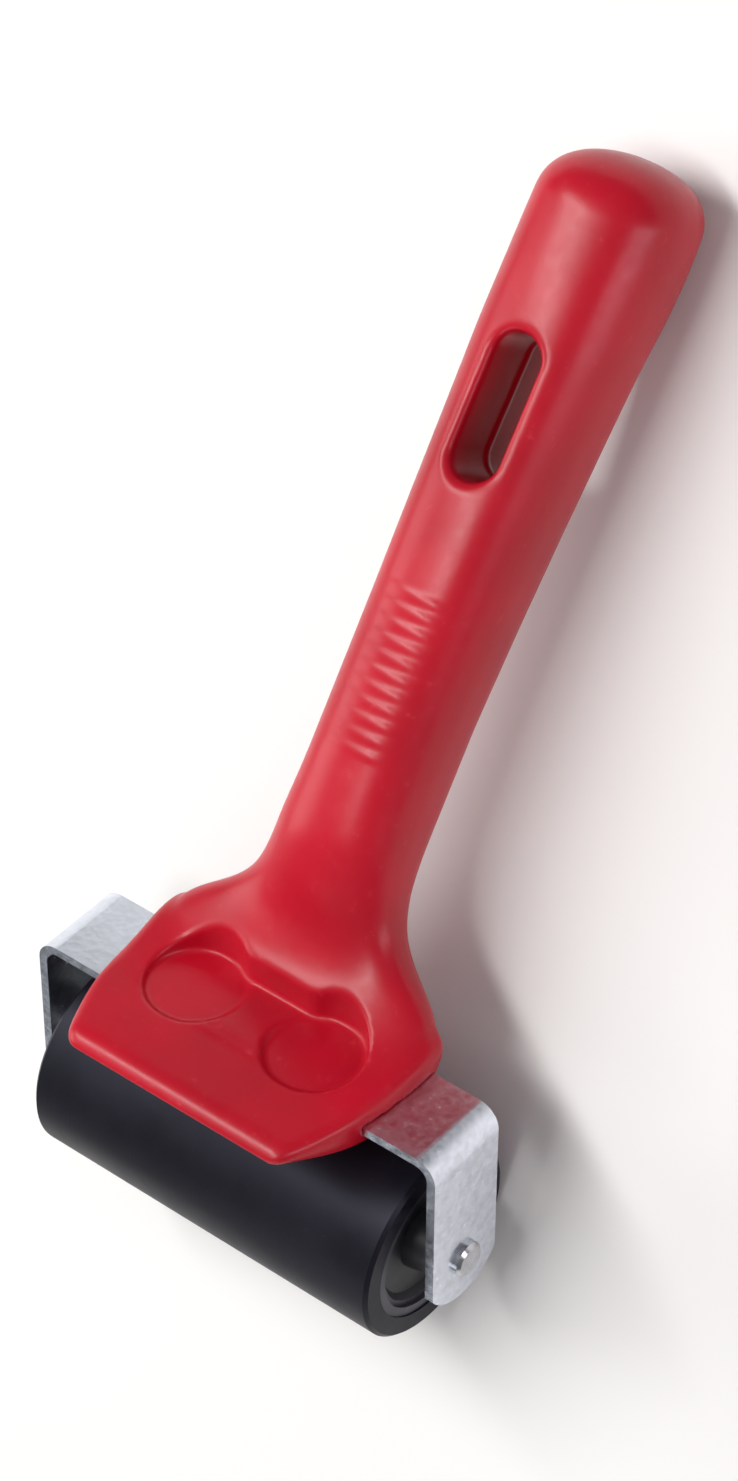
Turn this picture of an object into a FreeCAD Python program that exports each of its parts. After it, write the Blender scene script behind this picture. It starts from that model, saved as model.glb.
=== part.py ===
import FreeCAD, Part
import math
import os

import Sketcher

# Hand brayer for spreading ink: a rubber roller on a steel axle, held by a U-shaped strip
# bracket that is moulded into the head of a plastic handle.
# X runs along the axle, +Y from the roller to the end of the grip, +Z up.  The tool stands on
# its roller and on the heel of its grip, and the origin is the middle of its footprint.

DIMENSIONS = {
    # roller
    "roller_radius": 16.5,
    "roller_length": 65.0,
    "rubber_wall": 3.5,
    "rubber_edge": 0.6,
    "core_wall": 1.5,
    "core_setback": 0.3,
    "hub_setback": 2.0,
    "hub_depth": 7.0,
    "hub_web": 2.4,
    "hub_skirt": 1.6,
    "hub_boss_radius": 5.6,
    "hub_boss_reach": 2.0,
    "bush_radius": 3.5,
    "bush_collar_radius": 4.6,
    "bush_collar": 0.8,
    "running_gap": 0.05,
    # axle and washers
    "axle_radius": 2.0,
    "axle_head_radius": 2.9,
    "axle_head": 1.2,
    "axle_head_edge": 0.5,
    "washer_radius": 4.8,
    "washer_thickness": 0.8,
    # bracket
    "bracket_width": 76.0,
    "bracket_reach": 25.0,
    "bracket_tilt": 31.8,
    "strip_width": 15.0,
    "strip_thickness": 1.5,
    "bend_inside": 2.2,
    "arm_corner": 3.5,
    "arm_end": 7.7,
    # head of the handle, measured from the axle: "up" along the strip's width, "out" away
    # from the roller
    "head_half_width": 25.2,
    "head_top_out": 27.9,
    "head_rear_up": -10.0,
    "head_rear_out": 21.0,
    "head_under_up": -7.2,
    "head_under_out": 19.2,
    "lip_root_up": 9.0,
    "lip_root_out": 21.2,
    "lip_tip_up": 22.0,
    "lip_tip_out": 25.0,
    "lip_top_up": 21.2,
    "lip_top_out": 27.2,
    "lip_half_width": 20.5,
    "lip_corner_up": 9.5,
    "head_edge": 0.8,
    "thumb_radius": 7.8,
    "thumb_spacing": 22.8,
    "thumb_up": 2.0,
    "thumb_depth": 1.0,
    # hanging slot through the grip
    "slot_centre": 119.0,
    "slot_length": 22.5,
    "slot_width": 8.0,
}

# Sections of the grip: distance from the axle, lowest and highest point above the table, and
# half the width.
SECTIONS = [
    (20.0, 21.0, 36.6, 24.4),
    (24.0, 18.8, 33.2, 24.6),
    (28.5, 17.7, 30.4, 24.6),
    (31.5, 17.2, 29.3, 23.8),
    (34.0, 17.0, 28.9, 20.6),
    (37.0, 16.8, 29.1, 16.4),
    (41.0, 16.4, 30.5, 13.0),
    (46.3, 15.5, 32.6, 11.4),
    (52.0, 14.3, 33.9, 10.8),
    (60.0, 12.8, 33.6, 10.4),
    (72.3, 11.8, 33.0, 10.3),
    (88.0, 9.7, 31.8, 10.5),
    (103.5, 7.6, 30.5, 10.9),
    (119.0, 5.4, 28.9, 11.4),
    (129.5, 3.9, 27.8, 11.8),
    (138.0, 1.3, 26.9, 12.0),
    (145.0, 0.4, 26.0, 12.1),
    (150.5, 0.5, 25.0, 11.9),
    (154.0, 1.4, 23.7, 10.9),
    (156.4, 3.4, 21.4, 8.9),
    (157.8, 7.0, 18.0, 5.4),
]
SECTION_VALUES = ("distance", "low", "high", "half_width")
SECTION_POINTS = 32
LOFT_DEGREE = 2       # higher degrees swing out between sections that differ much
SQUARENESS = 2.3      # 2 is an ellipse; above it the section's corners fill out

DIMENSIONS["grip_end"] = SECTIONS[-1][0]
AXLE_Y = "(roller_radius - grip_end) / 2"
THROUGH = "2 * bracket_width"     # long enough to pass right through any sub-part
TOLERANCE = 1e-3

X_AXIS = FreeCAD.Vector(1, 0, 0)
Y_AXIS = FreeCAD.Vector(0, 1, 0)
Z_AXIS = FreeCAD.Vector(0, 0, 1)

NODES = ["handle", "bracket", "axle", "washer_right", "washer_left", "roller_sleeve",
         "roller_core", "hub_right", "hub_left", "bush_right", "bush_left"]

doc = FreeCAD.newDocument("brayer")
sheet = doc.addObject("Spreadsheet::Sheet", "Sheet")


def section_alias(index, value):
    return "section_{}_{}".format("abcdefghijklmnopqrstuvwxyz"[index], value)


def fill_sheet():
    """Write every driving dimension to the sheet, one aliased cell each."""
    cells = dict(DIMENSIONS)
    for index, section in enumerate(SECTIONS):
        for value, size in zip(SECTION_VALUES, section):
            cells[section_alias(index, value)] = size
    for row, (alias, size) in enumerate(cells.items(), start=1):
        sheet.set("A{}".format(row), alias)
        sheet.set("B{}".format(row), str(size))
        sheet.setAlias("B{}".format(row), alias)
    doc.recompute()


def cell(alias):
    return float(getattr(sheet, alias))


def bound(text):
    """Turn a formula over aliases into an expression over the sheet's cells."""
    words = sorted(DIMENSIONS, key=len, reverse=True)
    out, rest = "", text
    while rest:
        word = next((w for w in words if rest.startswith(w)), None)
        step = len(word) if word else 1
        out += "Sheet." + word if word else rest[0]
        rest = rest[step:]
    return out


def value_of(text):
    return float(sheet.evalExpression(bound(text)))


def axle_centre():
    return FreeCAD.Vector(0, value_of(AXLE_Y), cell("roller_radius"))


def origin_plane(body, role):
    return next(f for f in body.Origin.OriginFeatures if f.Role == role)


def new_body(label):
    body = doc.addObject("PartDesign::Body", label)
    body.Label = label
    return body


def new_sketch(body, name, role, offset=None):
    sketch = body.newObject("Sketcher::SketchObject", name)
    sketch.AttachmentSupport = [(origin_plane(body, role), "")]
    sketch.MapMode = "FlatFace"
    if offset is not None:
        sketch.AttachmentOffset = offset
    return sketch


def pin_point(sketch, geometry, position, point):
    """Hold one end of a line or arc at a place given by two formulas."""
    for kind, formula in zip(("DistanceX", "DistanceY"), point):
        number = sketch.addConstraint(
            Sketcher.Constraint(kind, -1, 1, geometry, position, value_of(formula)))
        sketch.setExpression("Constraints[{}]".format(number), bound(formula))


def draw_outline(sketch, points):
    """Draw a closed outline of straight lines whose corners are pairs of formulas."""
    places = [FreeCAD.Vector(value_of(x), value_of(y), 0) for x, y in points]
    first = sketch.GeometryCount
    count = len(points)
    for i in range(count):
        sketch.addGeometry(Part.LineSegment(places[i], places[(i + 1) % count]), False)
    for i in range(count):
        following = first + (i + 1) % count
        sketch.addConstraint(Sketcher.Constraint("Coincident", first + i, 2, following, 1))
    for i, point in enumerate(points):
        pin_point(sketch, first + i, 1, point)


def turned_body(label, points, flip=False):
    """A body turned about the axle: each point is (along the axle, radius)."""
    body = new_body(label)
    sketch = new_sketch(body, label + "_profile", "XY_Plane")
    draw_outline(sketch, points)
    turning = body.newObject("PartDesign::Revolution", label + "_turning")
    turning.Profile = sketch
    turning.ReferenceAxis = (origin_plane(body, "X_Axis"), [""])
    turning.Angle = 360.0
    doc.recompute()
    place(body, flip=flip)
    return body


def place(item, tilt=False, flip=False):
    """Put a body on the axle, tilted with the bracket or turned to face the other way."""
    item.setExpression("Placement.Base.y", bound(AXLE_Y))
    item.setExpression("Placement.Base.z", bound("roller_radius"))
    if tilt:
        item.Placement.Rotation = FreeCAD.Rotation(X_AXIS, cell("bracket_tilt"))
        item.setExpression("Placement.Rotation.Angle", bound("bracket_tilt") + " * 1deg")
    if flip:
        item.Placement.Rotation = FreeCAD.Rotation(Z_AXIS, 180)
    doc.recompute()


def edges_where(shape, test):
    return ["Edge{}".format(i) for i, edge in enumerate(shape.Edges, start=1) if test(edge)]


def fillet(body, name, size, test):
    base = body.Tip
    feature = body.newObject("PartDesign::Fillet", name)
    feature.Base = (base, edges_where(base.Shape, test))
    feature.setExpression("Radius", bound(size))
    doc.recompute()
    return feature


def pocket(body, sketch, name):
    """Cut a sketch both ways right through the body, and make sure that it cuts."""
    before = body.Shape.Volume
    feature = body.newObject("PartDesign::Pocket", name)
    feature.Profile = sketch
    feature.Midplane = True
    feature.setExpression("Length", bound(THROUGH))
    doc.recompute()
    if body.Shape.Volume >= before - TOLERANCE:
        raise RuntimeError(name + " cuts nothing")
    return feature


def pad(body, sketch, name, length):
    feature = body.newObject("PartDesign::Pad", name)
    feature.Profile = sketch
    feature.Midplane = True
    feature.setExpression("Length", bound(length))
    doc.recompute()
    return feature


# --- roller ----------------------------------------------------------------------------------

HALF = "roller_length / 2"
CORE_OUTER = "roller_radius - rubber_wall"
CORE_INNER = "roller_radius - rubber_wall - core_wall"
HUB_FACE = "roller_length / 2 - hub_setback"
BOSS_END = "roller_length / 2 + hub_boss_reach"
ARM_INSIDE = "bracket_width / 2 - strip_thickness"


def make_sleeve():
    turned_body("roller_sleeve", [
        ("-" + HALF, CORE_OUTER),
        ("-" + HALF, "roller_radius - rubber_edge"),
        ("-" + HALF + " + rubber_edge", "roller_radius"),
        (HALF + " - rubber_edge", "roller_radius"),
        (HALF, "roller_radius - rubber_edge"),
        (HALF, CORE_OUTER)])


def make_core():
    turned_body("roller_core", [
        ("-" + HALF + " + core_setback", CORE_INNER),
        ("-" + HALF + " + core_setback", CORE_OUTER),
        (HALF + " - core_setback", CORE_OUTER),
        (HALF + " - core_setback", CORE_INNER)])


def make_hub(label, flip):
    """A dished cap: a skirt in the core, a thin web and a boss that carries the bush."""
    turned_body(label, [
        (HUB_FACE + " - hub_depth", "bush_radius"),
        (HUB_FACE + " - hub_depth", "hub_boss_radius"),
        (HUB_FACE + " - hub_web", "hub_boss_radius"),
        (HUB_FACE + " - hub_web", CORE_INNER + " - hub_skirt"),
        (HUB_FACE + " - hub_depth", CORE_INNER + " - hub_skirt"),
        (HUB_FACE + " - hub_depth", CORE_INNER),
        (HUB_FACE + " + hub_setback / 2", CORE_INNER),
        (HUB_FACE + " + hub_setback / 2", CORE_INNER + " - hub_skirt / 2"),
        (HUB_FACE, CORE_INNER + " - hub_skirt"),
        (HUB_FACE, "hub_boss_radius"),
        (BOSS_END, "hub_boss_radius - bush_collar"),
        (BOSS_END, "bush_radius")], flip)


def make_bush(label, flip):
    turned_body(label, [
        (HUB_FACE + " - hub_depth", "axle_radius + running_gap"),
        (HUB_FACE + " - hub_depth", "bush_radius"),
        (BOSS_END, "bush_radius"),
        (BOSS_END, "bush_collar_radius"),
        (BOSS_END + " + bush_collar", "bush_collar_radius"),
        (BOSS_END + " + bush_collar", "axle_radius + running_gap")], flip)


# --- axle and bracket --------------------------------------------------------------------------

def make_washer(label, flip):
    """A spacer between the arm and the roller; it sits tight on the axle."""
    turned_body(label, [
        (ARM_INSIDE + " - washer_thickness", "axle_radius"),
        (ARM_INSIDE + " - washer_thickness", "washer_radius"),
        (ARM_INSIDE, "washer_radius"),
        (ARM_INSIDE, "axle_radius")], flip)


def make_axle():
    """A rod with a flat round head formed on each end, outside the arms."""
    side = "bracket_width / 2"
    rim = "axle_head_radius - axle_head_edge"
    turned_body("axle", [
        ("-" + side + " - axle_head", "0"),
        ("-" + side + " - axle_head", rim),
        ("-" + side + " - axle_head + axle_head_edge", "axle_head_radius"),
        ("-" + side, "axle_head_radius"),
        ("-" + side, "axle_radius"),
        (side, "axle_radius"),
        (side, "axle_head_radius"),
        (side + " + axle_head - axle_head_edge", "axle_head_radius"),
        (side + " + axle_head", rim),
        (side + " + axle_head", "0")])


def make_bracket():
    """A flat strip bent to a U, with the axle's holes in its rounded arm ends."""
    body = new_body("bracket")
    half, wall = "bracket_width / 2", "strip_thickness"
    strip = new_sketch(body, "bracket_strip", "XY_Plane")
    draw_outline(strip, [
        ("-" + half, "-arm_end"),
        ("-" + half, "bracket_reach"),
        (half, "bracket_reach"),
        (half, "-arm_end"),
        (half + " - " + wall, "-arm_end"),
        (half + " - " + wall, "bracket_reach - " + wall),
        ("-" + half + " + " + wall, "bracket_reach - " + wall),
        ("-" + half + " + " + wall, "-arm_end")])
    pad(body, strip, "bracket_blank", "strip_width")

    outer = value_of(half)
    inner = outer - value_of(wall)
    top = value_of("bracket_reach")

    def corner(x, y):
        def test(edge):
            a, b = (v.Point for v in edge.Vertexes)
            return a.x * b.x > 0 and all(
                abs(abs(p.x) - x) < TOLERANCE and abs(p.y - y) < TOLERANCE for p in (a, b))
        return test

    fillet(body, "bracket_outer_bends", "bend_inside + strip_thickness", corner(outer, top))
    fillet(body, "bracket_inner_bends", "bend_inside", corner(inner, top - value_of(wall)))

    trim = new_sketch(body, "bracket_arm_ends", "YZ_Plane")
    draw_arm_trim(trim)
    pocket(body, trim, "bracket_end_trim")

    bore = new_sketch(body, "bracket_bore", "YZ_Plane")
    bore.addGeometry(Part.Circle(FreeCAD.Vector(), Z_AXIS, cell("axle_radius")))
    bore.addConstraint(Sketcher.Constraint("Coincident", 0, 3, -1, 1))
    radius = bore.addConstraint(Sketcher.Constraint("Radius", 0, cell("axle_radius")))
    bore.setExpression("Constraints[{}]".format(radius), bound("axle_radius"))
    pocket(body, bore, "bracket_axle_holes")
    place(body, tilt=True)


def draw_arm_trim(sketch):
    """Everything beyond the arc that rounds the end of an arm."""
    near, far = "-arm_corner", "-arm_end - strip_width"
    side = "strip_width / 2"
    start = FreeCAD.Vector(value_of(near), value_of(side), 0)
    middle = FreeCAD.Vector(-cell("arm_end"), 0, 0)
    end = FreeCAD.Vector(value_of(near), -value_of(side), 0)
    sketch.addGeometry(Part.Arc(start, middle, end))
    corners = [(near, "-" + side), (near, "-strip_width"), (far, "-strip_width"),
               (far, "strip_width"), (near, "strip_width"), (near, side)]
    places = [FreeCAD.Vector(value_of(x), value_of(y), 0) for x, y in corners]
    for a, b in zip(places, places[1:]):
        sketch.addGeometry(Part.LineSegment(a, b))
    for i, point in enumerate(corners[:-1], start=1):
        pin_point(sketch, i, 1, point)
    pin_point(sketch, len(corners) - 1, 2, corners[-1])
    for i in range(1, len(corners) - 1):
        sketch.addConstraint(Sketcher.Constraint("Coincident", i, 2, i + 1, 1))
    arc = sketch.Geometry[0]
    first_end = 1 if arc.StartPoint.y > 0 else 2
    sketch.addConstraint(Sketcher.Constraint("Coincident", 0, first_end, len(corners) - 1, 2))
    sketch.addConstraint(Sketcher.Constraint("Coincident", 0, 3 - first_end, 1, 1))
    radius = sketch.addConstraint(Sketcher.Constraint("Radius", 0, arc.Radius))
    rise = "(arm_end - arm_corner)"
    sketch.setExpression(
        "Constraints[{}]".format(radius),
        bound("({0} * {0} + strip_width * strip_width / 4) / (2 * {0})".format(rise)))


# --- handle --------------------------------------------------------------------------------------

def make_head():
    """The head plate: a block round the strip that thins forward into a thumb lip."""
    body = new_body("head_block")
    side = new_sketch(body, "head_side", "YZ_Plane")
    draw_outline(side, [
        ("lip_tip_out", "lip_tip_up"),
        ("lip_top_out", "lip_top_up"),
        ("head_top_out", "lip_root_up"),
        ("head_top_out", "head_rear_up"),
        ("head_rear_out", "head_rear_up"),
        ("head_under_out", "head_under_up"),
        ("lip_root_out", "lip_root_up")])
    pad(body, side, "head_plate", "2 * head_half_width")
    for name, sign in (("right", ""), ("left", "-")):
        # seen along the strip's outer face: X across, the strip's width upward
        trim = new_sketch(body, "head_corner_" + name, "XZ_Plane")
        beside = sign + "(head_half_width + head_edge)"
        beyond = "lip_tip_up + head_edge"
        draw_outline(trim, [
            (sign + "lip_half_width", beyond),
            (beside, beyond),
            (beside, "lip_corner_up"),
            (sign + "head_half_width", "lip_corner_up"),
            (sign + "lip_half_width", "lip_top_up")])
        pocket(body, trim, "head_corner_cut_" + name)

    def on_top(edge):
        return all(v.Point.y > cell("lip_top_out") - TOLERANCE for v in edge.Vertexes)

    fillet(body, "head_rim", "head_edge", on_top)
    place(body, tilt=True)
    return body


def section_wire(index):
    """A closed smooth ring, squarer than an ellipse, across the grip."""
    distance, low, high, half_width = (cell(section_alias(index, v)) for v in SECTION_VALUES)
    middle, half_height = (high + low) / 2, (high - low) / 2
    ring = []
    for k in range(SECTION_POINTS):
        angle = 2 * math.pi * k / SECTION_POINTS
        c, s = math.cos(angle), math.sin(angle)
        x = half_width * math.copysign(abs(c) ** (2 / SQUARENESS), c)
        z = middle + half_height * math.copysign(abs(s) ** (2 / SQUARENESS), s)
        ring.append(FreeCAD.Vector(x, distance, z))
    curve = Part.BSplineCurve()
    curve.interpolate(ring, PeriodicFlag=True)
    return Part.Wire([curve.toShape()])


def make_grip():
    """The grip and its neck, which no single feature makes: a loft through the sections."""
    grip = doc.addObject("Part::Feature", "grip_form")
    wires = [section_wire(i) for i in range(len(SECTIONS))]
    solid, ruled, closed = True, False, False
    grip.Shape = Part.makeLoft(wires, solid, ruled, closed, LOFT_DEGREE)
    grip.setExpression("Placement.Base.y", bound(AXLE_Y))
    doc.recompute()
    return grip


def boolean(kind, name, base, tool):
    feature = doc.addObject("Part::" + kind, name)
    feature.Base = base
    feature.Tool = tool
    doc.recompute()
    return feature


def make_channel():
    """The space in the head that the strip fills."""
    box = doc.addObject("Part::Box", "strip_channel")
    box.setExpression("Length", bound("2 * head_half_width + 2 * head_edge"))
    box.setExpression("Width", bound("strip_thickness"))
    box.setExpression("Height", bound("strip_width"))
    turn = FreeCAD.Rotation(X_AXIS, cell("bracket_tilt"))
    corner = FreeCAD.Vector(-cell("head_half_width") - cell("head_edge"),
                            cell("bracket_reach") - cell("strip_thickness"),
                            -cell("strip_width") / 2)
    box.Placement = FreeCAD.Placement(axle_centre() + turn.multVec(corner), turn)
    return box


def make_slot():
    """A round-ended bar that cuts the hanging slot straight down through the grip."""
    body = new_body("slot_bar")
    sketch = new_sketch(body, "slot_outline", "XY_Plane")
    radius = cell("slot_width") / 2
    reach = (cell("slot_length") - cell("slot_width")) / 2
    for sign, start in ((1, 0.0), (-1, math.pi)):
        centre = FreeCAD.Vector(0, sign * reach, 0)
        circle = Part.Circle(centre, Z_AXIS, radius)
        sketch.addGeometry(Part.ArcOfCircle(circle, start, start + math.pi))
    for sign in (-1, 1):
        sketch.addGeometry(Part.LineSegment(FreeCAD.Vector(sign * radius, -sign * reach, 0),
                                            FreeCAD.Vector(sign * radius, sign * reach, 0)))
    for a, a_end, b, b_end in ((0, 2, 2, 1), (2, 2, 1, 1), (1, 2, 3, 1), (3, 2, 0, 1)):
        sketch.addConstraint(Sketcher.Constraint("Tangent", a, a_end, b, b_end))
    for arc, formula in ((0, "(slot_length - slot_width) / 2"),
                         (1, "-(slot_length - slot_width) / 2")):
        pin_point(sketch, arc, 3, ("0", formula))
    number = sketch.addConstraint(Sketcher.Constraint("Radius", 0, radius))
    sketch.setExpression("Constraints[{}]".format(number), bound("slot_width / 2"))
    pad(body, sketch, "slot_depth", THROUGH)
    body.setExpression("Placement.Base.y", bound(AXLE_Y + " + slot_centre"))
    doc.recompute()
    return body


def make_thumb_pad(name, sign):
    """A shallow round recess in the top of the head for a thumb or finger."""
    disc = doc.addObject("Part::Cylinder", name)
    disc.setExpression("Radius", bound("thumb_radius"))
    disc.setExpression("Height", bound("bracket_reach"))
    turn = FreeCAD.Rotation(X_AXIS, cell("bracket_tilt"))
    seat = FreeCAD.Vector(sign * cell("thumb_spacing") / 2,
                          cell("head_top_out") - cell("thumb_depth"), cell("thumb_up"))
    outward = FreeCAD.Rotation(Z_AXIS, turn.multVec(Y_AXIS))
    disc.Placement = FreeCAD.Placement(axle_centre() + turn.multVec(seat), outward)
    return disc


def make_handle():
    solid = boolean("Fuse", "handle_solid", make_grip(), make_head())
    solid = boolean("Cut", "handle_channelled", solid, make_channel())
    solid = boolean("Cut", "handle_slotted", solid, make_slot())
    solid = boolean("Cut", "handle_one_pad", solid, make_thumb_pad("thumb_pad_right", 1))
    solid = boolean("Cut", "handle", solid, make_thumb_pad("thumb_pad_left", -1))
    solid.Label = "handle"


# --- the whole tool ------------------------------------------------------------------------------

def find(label):
    return next(o for o in doc.Objects if o.Label == label)


def check():
    """Stop if any object failed or any sub-part has no sound shape."""
    doc.recompute()
    for item in doc.Objects:
        if "Invalid" in item.State or "Error" in item.State:
            raise RuntimeError("{} is {}".format(item.Name, item.State))
    for label in NODES:
        shape = find(label).Shape
        if shape.isNull() or not shape.isValid() or len(shape.Solids) != 1:
            raise RuntimeError(label + " has no sound solid")


def export():
    os.makedirs("parts", exist_ok=True)
    for label in NODES:
        find(label).Shape.exportStep("parts/{}.step".format(label))


fill_sheet()
make_sleeve()
make_core()
for side, flip in (("right", False), ("left", True)):
    make_hub("hub_" + side, flip)
    make_bush("bush_" + side, flip)
    make_washer("washer_" + side, flip)
make_axle()
make_bracket()
make_handle()
check()
export()
for label in NODES:
    shape = find(label).Shape
    print(label, round(shape.Volume, 1), shape.BoundBox)
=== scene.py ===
import math

import bpy
import numpy as np
from mathutils import Matrix, Vector


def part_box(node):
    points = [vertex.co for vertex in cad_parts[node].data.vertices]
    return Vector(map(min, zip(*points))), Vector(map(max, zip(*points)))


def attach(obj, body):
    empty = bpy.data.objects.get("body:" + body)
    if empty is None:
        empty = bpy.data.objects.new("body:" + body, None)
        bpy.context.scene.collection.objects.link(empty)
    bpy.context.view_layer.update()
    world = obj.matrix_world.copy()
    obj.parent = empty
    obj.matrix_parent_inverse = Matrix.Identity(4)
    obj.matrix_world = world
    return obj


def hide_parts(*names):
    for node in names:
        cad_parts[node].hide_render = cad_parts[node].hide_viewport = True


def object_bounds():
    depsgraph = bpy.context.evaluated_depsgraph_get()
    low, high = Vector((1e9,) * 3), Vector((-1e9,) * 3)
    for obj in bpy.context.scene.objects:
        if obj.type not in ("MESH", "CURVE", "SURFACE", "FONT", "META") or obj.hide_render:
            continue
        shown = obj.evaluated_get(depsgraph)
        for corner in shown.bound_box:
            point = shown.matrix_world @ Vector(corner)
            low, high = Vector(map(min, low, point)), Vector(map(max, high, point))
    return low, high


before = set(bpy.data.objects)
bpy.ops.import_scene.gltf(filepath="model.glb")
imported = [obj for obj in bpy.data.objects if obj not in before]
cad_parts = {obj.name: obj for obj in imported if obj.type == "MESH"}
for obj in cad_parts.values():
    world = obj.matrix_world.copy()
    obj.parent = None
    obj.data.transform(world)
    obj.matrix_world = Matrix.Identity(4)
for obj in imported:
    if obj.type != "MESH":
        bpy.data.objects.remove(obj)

# A hand brayer: the bracket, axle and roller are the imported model's own pieces, given their
# finishes here, and the moulded handle is rebuilt as one smooth surface with soft edges.

CAD_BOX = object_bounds()
MM = 0.001

# --- places and sizes, all in millimetres -----------------------------------------------------

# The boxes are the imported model's; the sizes after them repeat its dimensions.

ROLLER_LOW, ROLLER_HIGH = (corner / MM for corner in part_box("roller_sleeve"))
HANDLE_LOW, HANDLE_HIGH = (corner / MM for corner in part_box("handle"))
AXLE_Y = (ROLLER_LOW.y + ROLLER_HIGH.y) / 2
AXLE_Z = (ROLLER_LOW.z + ROLLER_HIGH.z) / 2
GRIP_END = HANDLE_HIGH.y - AXLE_Y

# The head is laid out from the axle: "up" along the strip's width, "out" away from the roller.
TILT = math.radians(31.8)
STRIP_OUT = 25.0
STRIP_WIDTH = 15.0
STRIP_THICKNESS = 1.5
INSET = 0.05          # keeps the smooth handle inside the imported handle's box
HEAD_HALF_WIDTH = HANDLE_HIGH.x - INSET
HEAD_TOP = 27.9

# Sections of the grip: distance from the axle, lowest and highest point above the table, half
# the width.  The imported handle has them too; only the last is drawn on to the grip's end, which
# the cap then rounds.
SECTIONS = np.array([
    (20.0, 21.0, 36.6, 24.4),
    (24.0, 18.8, 33.2, 24.6),
    (28.5, 17.7, 30.4, 24.6),
    (31.5, 17.2, 29.3, 23.8),
    (34.0, 17.0, 28.9, 20.6),
    (37.0, 16.8, 29.1, 16.4),
    (41.0, 16.4, 30.5, 13.0),
    (46.3, 15.5, 32.6, 11.4),
    (52.0, 14.3, 33.9, 10.8),
    (60.0, 12.8, 33.6, 10.4),
    (72.3, 11.8, 33.0, 10.3),
    (88.0, 9.7, 31.8, 10.5),
    (103.5, 7.6, 30.5, 10.9),
    (119.0, 5.4, 28.9, 11.4),
    (129.5, 3.9, 27.8, 11.8),
    (138.0, 1.3, 26.9, 12.0),
    (145.0, 0.4, 26.0, 12.1),
    (158.0, 0.4, 24.2, 11.9),
])
CAP_LENGTH = 8.5
FRONT_EDGE = 1.0
SQUARENESS = 2.3
PROFILE_STEP = 0.25
PROFILE_SOFTNESS = 1.8


# --- implicit surface: fields are negative inside ---------------------------------------------

def smooth_max(a, b, radius):
    """The larger of two fields, with the corner between them rounded."""
    blend = np.clip(0.5 + 0.5 * (a - b) / radius, 0.0, 1.0)
    return b + (a - b) * blend + radius * blend * (1.0 - blend)


def smooth_min(a, b, radius):
    return -smooth_max(-a, -b, radius)


def smooth_step(value, low, high):
    t = np.clip((value - low) / (high - low), 0.0, 1.0)
    return t * t * (3.0 - 2.0 * t)


def soft_profile(column):
    """A section value as a smooth function of the distance from the axle."""
    y = np.arange(SECTIONS[0, 0], SECTIONS[-1, 0], PROFILE_STEP)
    raw = np.interp(y, SECTIONS[:, 0], SECTIONS[:, column])
    reach = int(4 * PROFILE_SOFTNESS / PROFILE_STEP)
    weights = np.exp(-0.5 * (np.arange(-reach, reach + 1) * PROFILE_STEP / PROFILE_SOFTNESS) ** 2)
    padded = np.concatenate([
        2 * raw[0] - raw[reach:0:-1], raw, 2 * raw[-1] - raw[-2:-reach - 2:-1]])
    smooth = np.convolve(padded, weights / weights.sum(), mode="valid")
    return lambda at: np.interp(at, y, smooth)


LOW_AT, HIGH_AT, HALF_WIDTH_AT = (soft_profile(column) for column in (1, 2, 3))


def grip_field(x, y, z):
    """The grip and its flared neck; y is the distance from the axle."""
    low, high, half = LOW_AT(y), HIGH_AT(y), HALF_WIDTH_AT(y)
    height = (high - low) / 2
    across = np.abs(x) / half
    upright = np.abs(z - (high + low) / 2) / height
    end = np.clip((y - GRIP_END + CAP_LENGTH) / CAP_LENGTH, 0.0, None)
    ring = across ** SQUARENESS + upright ** SQUARENESS + end ** SQUARENESS
    side = (ring ** (1 / SQUARENESS) - 1.0) * np.minimum(half, height)
    return smooth_max(side, SECTIONS[0, 0] - y, FRONT_EDGE)


def head_axes(y, z):
    """(up, out) of a point in the head, from its distances from the axle."""
    rise = z - AXLE_Z
    return (rise * math.cos(TILT) - y * math.sin(TILT),
            rise * math.sin(TILT) + y * math.cos(TILT))


def side_of(up, out, start, end):
    """Distance outside the line from start to end, both (up, out), seen along +X."""
    along = (end[0] - start[0], end[1] - start[1])
    length = math.hypot(*along)
    return ((up - start[0]) * along[1] - (out - start[1]) * along[0]) / length


# Corners of the head as (up, out), seen from its end and starting at the lip's tip.
HEAD_OUTLINE = [(22.0, 25.0), (21.7, 25.9), (19.9, 27.35), (9.0, HEAD_TOP), (-10.0, HEAD_TOP),
                (-10.0, 21.0), (-7.2, 19.2), (9.0, 21.2)]
LIP_HALF_WIDTH = 20.5
LIP_CORNER_UP = 9.5
LIP_CORNER_END = 21.2
HEAD_EDGE = 1.1


def head_field(x, up, out):
    """The head plate and its thumb lip, with rounded edges all round."""
    field = None
    for start, end in zip(HEAD_OUTLINE, HEAD_OUTLINE[1:] + HEAD_OUTLINE[:1]):
        plane = side_of(up, out, start, end)
        field = plane if field is None else smooth_max(field, plane, HEAD_EDGE)
    field = smooth_max(field, np.abs(x) - HEAD_HALF_WIDTH, 2 * HEAD_EDGE)
    corner = side_of(np.abs(x), up, (HEAD_HALF_WIDTH, LIP_CORNER_UP),
                     (LIP_HALF_WIDTH, LIP_CORNER_END))
    return smooth_max(field, corner, 2 * HEAD_EDGE)


PAD_RADIUS = 7.8
PAD_CENTRE_X = 11.4
PAD_CENTRE_UP = 2.0
PAD_DEPTH = 1.0
SADDLE_DEPTH = 0.8
SADDLE_HALF = 6.0
RECESS_EDGE = 1.0
RECESS_JOIN = 0.8


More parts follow.
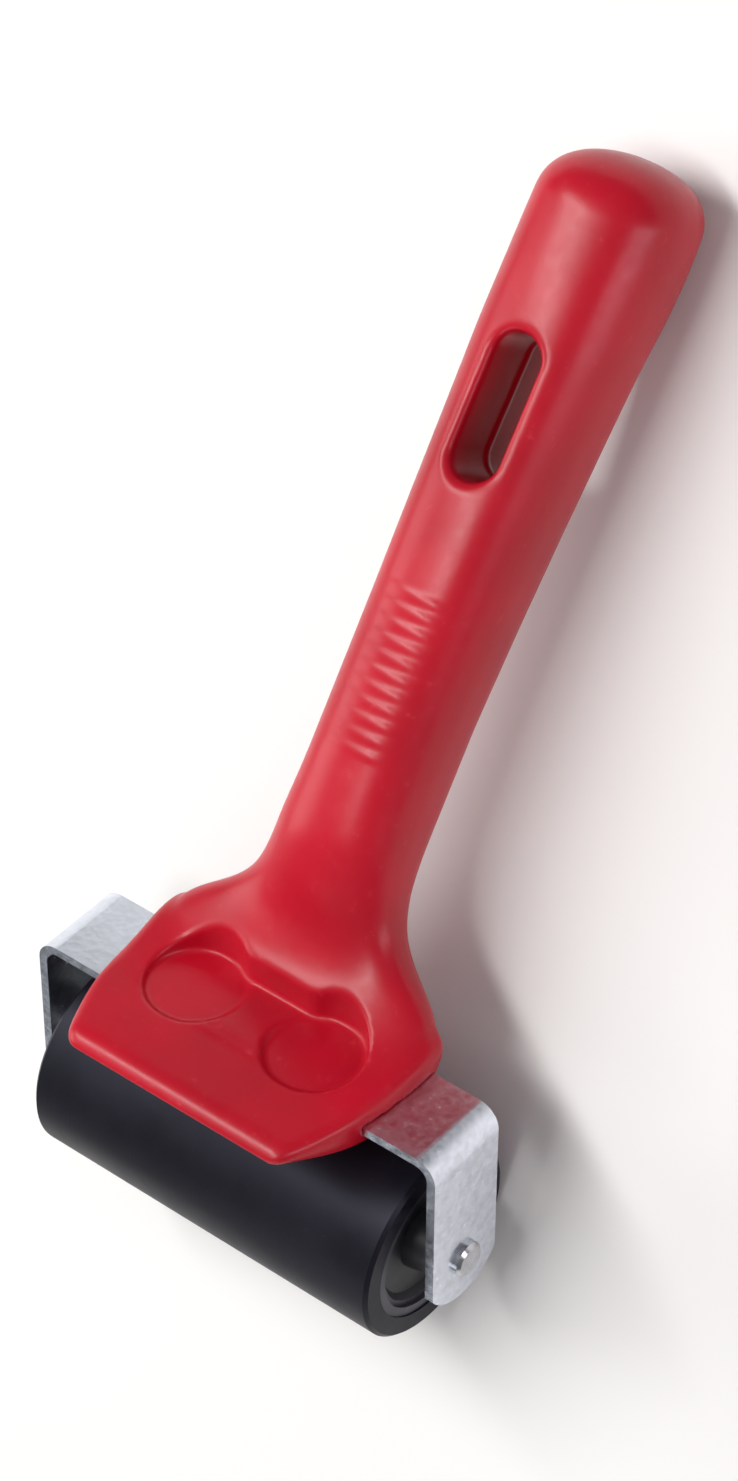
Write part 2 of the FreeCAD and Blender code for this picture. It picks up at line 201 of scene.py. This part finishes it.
def pads_field(x, up, out):
    """Negative in the two round thumb pads and in the shallow saddle that joins them."""
    circle = np.hypot(np.abs(x) - PAD_CENTRE_X, up - PAD_CENTRE_UP) - PAD_RADIUS
    pad = smooth_max(circle, HEAD_TOP - PAD_DEPTH - out, RECESS_EDGE)
    band = smooth_max(np.abs(x) - PAD_CENTRE_X, np.abs(up - PAD_CENTRE_UP) - SADDLE_HALF,
                      RECESS_EDGE)
    depth = SADDLE_DEPTH * smooth_step(PAD_CENTRE_UP - up, -SADDLE_HALF, SADDLE_HALF)
    saddle = smooth_max(band, HEAD_TOP - depth - out, RECESS_EDGE)
    return smooth_min(pad, saddle, RECESS_JOIN)


SLOT_CENTRE = 119.0
SLOT_LENGTH = 22.5
SLOT_WIDTH = 8.0
SLOT_FLASH = 0.3
FLASH_CREST, FLASH_FOOT = 0.2, 0.9       # half widths of the ridge at its top and bottom


def slot_field(x, y, z):
    """The hanging slot, with the low ridge round its wall where the mould's halves met."""
    reach = (SLOT_LENGTH - SLOT_WIDTH) / 2
    along = np.clip(np.abs(y - SLOT_CENTRE) - reach, 0.0, None)
    middle = (LOW_AT(y) + HIGH_AT(y)) / 2
    ridge = SLOT_FLASH * (1.0 - smooth_step(np.abs(z - middle), FLASH_CREST, FLASH_FOOT))
    return np.hypot(x, along) - SLOT_WIDTH / 2 + ridge


RIB_HEIGHT = 0.13
RIB_PITCH = 2.4
RIB_FIRST, RIB_COUNT = 66.0, 11
RIB_HALF_LENGTH = 6.4
RIB_CREST, RIB_FOOT = 0.1, 1.1
RIB_FADE = 3.0
RIB_MARGIN = 2.0


def ribs_height(x, y, z):
    """Height of the plain low ribs across the top of the grip."""
    last = RIB_FIRST + RIB_PITCH * (RIB_COUNT - 1)
    nearest = np.clip(np.round((y - RIB_FIRST) / RIB_PITCH), 0, RIB_COUNT - 1)
    across = np.abs(y - RIB_FIRST - RIB_PITCH * nearest)
    profile = 1.0 - smooth_step(across, RIB_CREST, RIB_FOOT)
    ends = 1.0 - smooth_step(np.abs(x), RIB_HALF_LENGTH - RIB_FADE, RIB_HALF_LENGTH)
    top = smooth_step(z, (LOW_AT(y) + HIGH_AT(y)) / 2, HIGH_AT(y))
    inside = (y > RIB_FIRST - RIB_MARGIN) & (y < last + RIB_MARGIN)
    return RIB_HEIGHT * profile * ends * top * inside


STRIP_CLEARANCE = 0.12


def channel_field(up, out):
    """The channel that the bracket's strip fills, a hair wider than the strip."""
    middle = STRIP_OUT - STRIP_THICKNESS / 2
    return np.maximum(np.abs(up) - STRIP_WIDTH / 2, np.abs(out - middle) - STRIP_THICKNESS / 2) \
        - STRIP_CLEARANCE


NECK_BLEND = 2.6
PAD_EDGE = 0.7
SLOT_EDGE = 2.0


def handle_field(x, y, z):
    up, out = head_axes(y, z)
    grip = grip_field(x, y, z) - ribs_height(x, y, z)
    solid = smooth_min(grip, head_field(x, up, out), NECK_BLEND)
    solid = smooth_max(solid, -pads_field(x, up, out), PAD_EDGE)
    solid = smooth_max(solid, -slot_field(x, y, z), SLOT_EDGE)
    return np.maximum(solid, -channel_field(up, out))


# --- from field to mesh -------------------------------------------------------------------------

def surface_net(field, low, high, step):
    """Vertices and quads of the surface where the field is zero, one vertex to a grid cell."""
    axes = [np.arange(a, b + step, step) for a, b in zip(low, high)]
    x, y, z = np.meshgrid(*axes, indexing="ij", sparse=True)
    values = field(x, y, z) + np.zeros([len(a) for a in axes])
    inside = values < 0
    counts = np.zeros([len(a) - 1 for a in axes], np.int8)
    sums = np.zeros(counts.shape + (3,))
    cells = counts.shape

    def corner(array, offset):
        return array[tuple(slice(o, o + n) for o, n in zip(offset, cells))]

    for axis in range(3):
        others = [a for a in range(3) if a != axis]
        for i in (0, 1):
            for j in (0, 1):
                start = [0, 0, 0]
                start[others[0]], start[others[1]] = i, j
                stop = list(start)
                stop[axis] = 1
                crossing = corner(inside, start) != corner(inside, stop)
                f0, f1 = corner(values, start)[crossing], corner(values, stop)[crossing]
                place = np.tile(np.array(start, float), (len(f0), 1))
                place[:, axis] += f0 / (f0 - f1)
                sums[crossing] += place
                counts[crossing] += 1
    active = counts > 0
    index = np.full(cells, -1)
    index[active] = np.arange(active.sum())
    cell_corner = np.argwhere(active)
    vertices = (cell_corner + sums[active] / counts[active][:, None]) * step + np.array(low)

    quads = []
    for axis in range(3):
        first, second = [(1, 2), (2, 0), (0, 1)][axis]
        a = np.take(inside, range(inside.shape[axis] - 1), axis)
        b = np.take(inside, range(1, inside.shape[axis]), axis)
        edges = np.argwhere(a != b)
        edges = edges[(edges[:, first] > 0) & (edges[:, second] > 0)]
        ring = []
        for df, ds in ((1, 1), (0, 1), (0, 0), (1, 0)):
            at = edges.copy()
            at[:, first] -= df
            at[:, second] -= ds
            ring.append(index[at[:, 0], at[:, 1], at[:, 2]])
        ring = np.stack(ring, 1)
        leaving = a[edges[:, 0], edges[:, 1], edges[:, 2]]
        quads.append(np.where(leaving[:, None], ring, ring[:, ::-1]))
    return vertices, np.concatenate(quads)


FLATTEST_SLOPE = 0.05
LONGEST_MOVE = 0.3


def settle(field, vertices, rounds=3, probe=0.02):
    """Move vertices along the field's gradient until they lie on its surface."""
    for _ in range(rounds):
        value = field(*vertices.T)
        slope = np.stack([
            (field(*(vertices + probe * axis).T) - field(*(vertices - probe * axis).T)) / (2 * probe)
            for axis in np.eye(3)], 1)
        size = np.maximum((slope ** 2).sum(1), FLATTEST_SLOPE)
        move = np.clip(value / size, -LONGEST_MOVE, LONGEST_MOVE)
        vertices = vertices - move[:, None] * slope
    return vertices


def relax(vertices, faces, rounds=2):
    """Even out the spacing of the vertices by moving each to the middle of its neighbours."""
    ends = np.concatenate([faces[:, [i, (i + 1) % 4]] for i in range(4)])
    count = np.bincount(ends[:, 0], minlength=len(vertices))[:, None]
    for _ in range(rounds):
        total = np.stack([np.bincount(ends[:, 0], vertices[ends[:, 1], axis], len(vertices))
                          for axis in range(3)], 1)
        vertices = (vertices + total / count) / 2
    return vertices


def mesh_object(name, vertices, faces):
    mesh = bpy.data.meshes.new(name)
    mesh.from_pydata(vertices.tolist(), [], faces.tolist())
    mesh.validate()
    mesh.polygons.foreach_set("use_smooth", [True] * len(mesh.polygons))
    thing = bpy.data.objects.new(name, mesh)
    bpy.context.scene.collection.objects.link(thing)
    return thing


GRID_STEP = 0.45
GRID_MARGIN = 2.0


def make_handle():
    """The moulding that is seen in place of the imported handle."""
    low = [HANDLE_LOW.x - GRID_MARGIN, HANDLE_LOW.y - AXLE_Y - GRID_MARGIN,
           HANDLE_LOW.z - GRID_MARGIN]
    high = [HANDLE_HIGH.x + GRID_MARGIN, HANDLE_HIGH.y - AXLE_Y + GRID_MARGIN,
            HANDLE_HIGH.z + GRID_MARGIN]
    vertices, faces = surface_net(handle_field, low, high, GRID_STEP)
    vertices = settle(handle_field, relax(vertices, faces))
    vertices[:, 1] += AXLE_Y
    handle = mesh_object("handle_moulding", vertices * MM, faces)
    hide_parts("handle")
    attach(handle, "frame")
    return handle


# --- materials ----------------------------------------------------------------------------------

def new_material(name, **sockets):
    """A principled material; sockets are set on the shader itself."""
    material = bpy.data.materials.new(name)
    material.use_nodes = True
    shader = material.node_tree.nodes["Principled BSDF"]
    for socket, value in sockets.items():
        shader.inputs[socket.replace("_", " ")].default_value = value
    return material


def add_node(material, kind, inputs=None, **settings):
    node = material.node_tree.nodes.new(kind)
    for name, value in settings.items():
        setattr(node, name, value)
    for name, value in (inputs or {}).items():
        node.inputs[name].default_value = value
    return node


def link(material, source, socket, target, entry):
    material.node_tree.links.new(source.outputs[socket], target.inputs[entry])


def shader_of(material):
    return material.node_tree.nodes["Principled BSDF"]


def object_space(material, scale=(1.0, 1.0, 1.0)):
    coordinates = add_node(material, "ShaderNodeTexCoord")
    mapping = add_node(material, "ShaderNodeMapping", {"Scale": scale})
    link(material, coordinates, "Object", mapping, "Vector")
    return mapping


def noise(material, space, scale, detail=3.0, roughness=0.55):
    node = add_node(material, "ShaderNodeTexNoise",
                    {"Scale": scale, "Detail": detail, "Roughness": roughness})
    link(material, space, "Vector", node, "Vector")
    return node


def ramp(material, source, socket, stops):
    """A colour ramp; stops are (place, colour) with grey given as one number."""
    node = add_node(material, "ShaderNodeValToRGB")
    link(material, source, socket, node, "Fac")
    elements = node.color_ramp.elements
    while len(elements) < len(stops):
        elements.new(0.5)
    for element, (place, colour) in zip(elements, stops):
        element.position = place
        element.color = colour if len(np.shape(colour)) else (colour, colour, colour, 1.0)
    return node


def bump(material, source, socket, height, strength=1.0, after=None):
    """Surface relief of a height in metres, stacked on earlier relief."""
    node = add_node(material, "ShaderNodeBump", {"Strength": strength, "Distance": height})
    link(material, source, socket, node, "Height")
    if after is not None:
        link(material, after, "Normal", node, "Normal")
    link(material, node, "Normal", shader_of(material), "Normal")
    return node


def edge_mask(material, low, high):
    """White where the surface is a sharp convex edge."""
    geometry = add_node(material, "ShaderNodeNewGeometry")
    return ramp(material, geometry, "Pointiness", [(low, 0.0), (high, 1.0)])


def mix(material, factor, factor_socket, first, second, entry="Base Color", blend="MIX"):
    """Mix two colours or node outputs into a shader entry."""
    node = add_node(material, "ShaderNodeMix", data_type="RGBA", blend_type=blend)
    link(material, factor, factor_socket, node, 0)
    for slot_index, value in ((6, first), (7, second)):
        if isinstance(value, tuple):
            node.inputs[slot_index].default_value = value
        else:
            link(material, value, 2 if value.type == "MIX" else "Color", node, slot_index)
    if entry is not None:
        material.node_tree.links.new(node.outputs[2], shader_of(material).inputs[entry])
    return node


RED = (0.47, 0.0030, 0.017, 1.0)
RED_DEEP = (0.37, 0.0024, 0.013, 1.0)
RED_WORN = (0.66, 0.05, 0.07, 1.0)


def handle_material():
    material = new_material("red_plastic", IOR=1.5, Specular_IOR_Level=0.34,
                            Subsurface_Weight=0.08, Subsurface_Scale=0.002)
    shader_of(material).inputs["Subsurface Radius"].default_value = (1.0, 0.12, 0.08)
    space = object_space(material)
    flow = noise(material, space, 38.0, 2.0)
    tone = ramp(material, flow, "Fac", [(0.35, 0.0), (0.65, 1.0)])
    body = mix(material, tone, "Color", RED, RED_DEEP, entry=None)
    scuffs = noise(material, space, 420.0, 4.0, 0.65)
    worn = ramp(material, scuffs, "Fac", [(0.62, 0.0), (0.85, 0.5)])
    mix(material, worn, "Color", body, RED_WORN)
    gloss = ramp(material, scuffs, "Fac", [(0.30, 0.30), (0.62, 0.36), (0.80, 0.46)])
    link(material, gloss, "Color", shader_of(material), "Roughness")
    peel = noise(material, space, 520.0, 2.0, 0.4)
    wave = noise(material, space, 90.0, 1.0, 0.4)
    first = bump(material, wave, "Fac", 0.00025, 0.35)
    bump(material, peel, "Fac", 0.00004, 0.35, after=first)
    return material


def zinc_material(name, tint):
    """Bright zinc plating with a fine mottled grain and faint cloudy patches."""
    material = new_material(name, Metallic=1.0, Roughness=0.32)
    space = object_space(material)
    spangle = add_node(material, "ShaderNodeTexVoronoi", {"Scale": 900.0, "Randomness": 1.0})
    link(material, space, "Vector", spangle, "Vector")
    cloud = noise(material, space, 700.0, 5.0, 0.65)
    patch = noise(material, space, 90.0, 3.0, 0.6)
    dark, light = tuple(0.80 * c for c in tint) + (1.0,), tint + (1.0,)
    tone = ramp(material, cloud, "Fac", [(0.36, 0.0), (0.64, 1.0)])
    grain = mix(material, tone, "Color", dark, light, entry=None)
    patchy = ramp(material, patch, "Fac", [(0.35, 0.92), (0.70, 1.0)])
    both = add_node(material, "ShaderNodeMix", {0: 1.0}, data_type="RGBA", blend_type="MULTIPLY")
    link(material, grain, 2, both, 6)
    link(material, patchy, "Color", both, 7)
    link(material, both, 2, shader_of(material), "Base Color")
    gloss = ramp(material, cloud, "Fac", [(0.30, 0.17), (0.70, 0.28)])
    link(material, gloss, "Color", shader_of(material), "Roughness")
    first = bump(material, spangle, "Distance", 0.00003, 0.3)
    bump(material, cloud, "Fac", 0.00003, 0.4, after=first)
    return material


def rubber_material():
    """Ground rubber: satin black with fine rings round the roller and a little dust."""
    material = new_material("ground_rubber", IOR=1.5, Specular_IOR_Level=0.24,
                            Specular_Tint=(0.80, 0.80, 1.0, 1.0))
    rings = noise(material, object_space(material, (1.0, 0.02, 0.02)), 2600.0, 3.0, 0.6)
    space = object_space(material)
    specks = noise(material, space, 1500.0, 3.0, 0.7)
    cloud = noise(material, space, 70.0, 3.0, 0.6)
    tone = ramp(material, cloud, "Fac", [(0.3, (0.0032, 0.0031, 0.0058, 1)),
                                         (0.7, (0.0062, 0.0060, 0.0100, 1))])
    dust = ramp(material, specks, "Fac", [(0.66, 0.0), (0.80, 1.0)])
    mix(material, dust, "Color", tone, (0.022, 0.021, 0.028, 1.0))
    gloss = ramp(material, cloud, "Fac", [(0.3, 0.40), (0.7, 0.52)])
    link(material, gloss, "Color", shader_of(material), "Roughness")
    first = bump(material, rings, "Fac", 0.00003, 0.5)
    bump(material, specks, "Fac", 0.00003, 0.35, after=first)
    return material


def dark_plastic(name, colour, roughness):
    material = new_material(name, Roughness=roughness)
    space = object_space(material)
    cloud = noise(material, space, 160.0, 4.0, 0.6)
    light = tuple(1.6 * c for c in colour)
    tone = ramp(material, cloud, "Fac", [(0.3, colour + (1.0,)), (0.7, light + (1.0,))])
    worn = edge_mask(material, 0.55, 0.68)
    mix(material, worn, "Color", tone, tuple(4 * c for c in colour) + (1.0,))
    gloss = ramp(material, cloud, "Fac", [(0.3, roughness - 0.06), (0.7, roughness + 0.08)])
    link(material, gloss, "Color", shader_of(material), "Roughness")
    bump(material, noise(material, space, 900.0, 2.0), "Fac", 0.00003, 0.4)
    return material


def dress(thing, material):
    thing.data.materials.clear()
    thing.data.materials.append(material)


def ease_edges(thing, width, segments=2, angle=35):
    """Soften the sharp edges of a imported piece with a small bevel."""
    modifier = thing.modifiers.new("eased_edges", "BEVEL")
    modifier.width = width * MM
    modifier.segments = segments
    modifier.limit_method = "ANGLE"
    modifier.angle_limit = math.radians(angle)
    modifier.harden_normals = False


# --- stage --------------------------------------------------------------------------------------

def make_floor():
    material = new_material("pale_floor", Base_Color=(0.80, 0.79, 0.77, 1.0), Roughness=0.65)
    size = 4.0
    mesh = bpy.data.meshes.new("floor")
    corners = [(-size, -size, 0), (size, -size, 0), (size, size, 0), (-size, size, 0)]
    mesh.from_pydata(corners, [], [(0, 1, 2, 3)])
    floor = bpy.data.objects.new("floor", mesh)
    bpy.context.scene.collection.objects.link(floor)
    dress(floor, material)


def area_light(name, place, target, size, power, colour=(1.0, 1.0, 1.0)):
    data = bpy.data.lights.new(name, "AREA")
    data.shape = "RECTANGLE"
    data.size, data.size_y = size
    data.energy = power
    data.color = colour
    lamp = bpy.data.objects.new(name, data)
    lamp.location = place
    lamp.rotation_euler = (Vector(target) - Vector(place)).to_track_quat("-Z", "Y").to_euler()
    bpy.context.scene.collection.objects.link(lamp)


WORLD_STRENGTH = 0.36
HORIZON = (0.34, 0.35, 0.39, 1.0)
ZENITH = (1.0, 1.0, 1.0, 1.0)
MIDDLE = (0.0, 0.0, 0.02)


def make_lights():
    """A sky that pales upward, a long key light over the grip, two fills and a low rim light."""
    world = bpy.data.worlds.new("studio")
    world.use_nodes = True
    nodes, links = world.node_tree.nodes, world.node_tree.links
    nodes["Background"].inputs["Strength"].default_value = WORLD_STRENGTH
    place = nodes.new("ShaderNodeTexCoord")
    split = nodes.new("ShaderNodeSeparateXYZ")
    shade = nodes.new("ShaderNodeValToRGB")
    links.new(place.outputs["Generated"], split.inputs["Vector"])
    links.new(split.outputs["Z"], shade.inputs["Fac"])
    links.new(shade.outputs["Color"], nodes["Background"].inputs["Color"])
    shade.color_ramp.elements[0].color = HORIZON
    shade.color_ramp.elements[1].color = ZENITH
    bpy.context.scene.world = world
    area_light("key", (-0.18, 0.10, 0.60), MIDDLE, (0.08, 0.70), 3.8)
    area_light("left_fill", (-0.70, -0.15, 0.42), MIDDLE, (0.5, 0.5), 2.6)
    area_light("right_rim", (0.62, 0.10, 0.12), MIDDLE, (0.10, 0.60), 1.5, (1.0, 0.86, 0.95))
    area_light("front", (0.05, -0.85, 0.38), MIDDLE, (0.8, 0.3), 1.6)
    bpy.context.scene.view_settings.view_transform = "Standard"


VIEW_AZIMUTH = 118.0
VIEW_ELEVATION = 58.0
VIEW_DISTANCE = 0.60
GRIP_LEAN = 20.0
LENS = 100.0
AIM_RIGHT, AIM_UP = -0.0036, -0.0035      # from the middle of the box, in the picture's plane


def make_camera():
    """Above the grip's side, with the grip leaning a little right of upright in the picture."""
    a, e = math.radians(VIEW_AZIMUTH), math.radians(VIEW_ELEVATION)
    backward = Vector((math.sin(a) * math.cos(e), -math.cos(a) * math.cos(e), math.sin(e)))
    grip = Vector((0, 1, 0))
    upward = (grip - grip.dot(backward) * backward).normalized()
    upward.rotate(Matrix.Rotation(math.radians(GRIP_LEAN), 3, backward))
    rightward = upward.cross(backward)
    middle = (Vector(CAD_BOX[0]) + Vector(CAD_BOX[1])) / 2
    middle += AIM_RIGHT * rightward + AIM_UP * upward
    rotation = Matrix((rightward, upward, backward)).transposed()
    data = bpy.data.cameras.new("camera")
    data.sensor_fit = "VERTICAL"
    data.sensor_height = 36.0
    data.lens = LENS
    camera = bpy.data.objects.new("camera", data)
    camera.matrix_world = Matrix.Translation(middle + VIEW_DISTANCE * backward) @ rotation.to_4x4()
    bpy.context.scene.collection.objects.link(camera)
    bpy.context.scene.camera = camera


# --- making ---------------------------------------------------------------------------------------

make_camera()
make_lights()
make_floor()

dress(make_handle(), handle_material())

zinc = zinc_material("zinc_plate", (0.84, 0.88, 0.97))
axle_steel = zinc_material("axle_steel", (0.66, 0.67, 0.70))
rubber = rubber_material()
core = dark_plastic("core_plastic", (0.012, 0.012, 0.016), 0.42)
nylon = dark_plastic("bush_nylon", (0.030, 0.030, 0.034), 0.48)

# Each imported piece's finish, and the width in millimetres of the bevel on its edges, if any.
FINISHES = [
    ("bracket", zinc, 0.22),
    ("axle", axle_steel, 0.12),
    ("washer_right", axle_steel, 0.12),
    ("washer_left", axle_steel, 0.12),
    ("roller_sleeve", rubber, None),
    ("roller_core", core, 0.12),
    ("hub_right", core, 0.12),
    ("hub_left", core, 0.12),
    ("bush_right", nylon, None),
    ("bush_left", nylon, None),
]
for name, finish, bevel in FINISHES:
    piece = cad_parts[name]
    dress(piece, finish)
    if bevel is not None:
        ease_edges(piece, bevel)
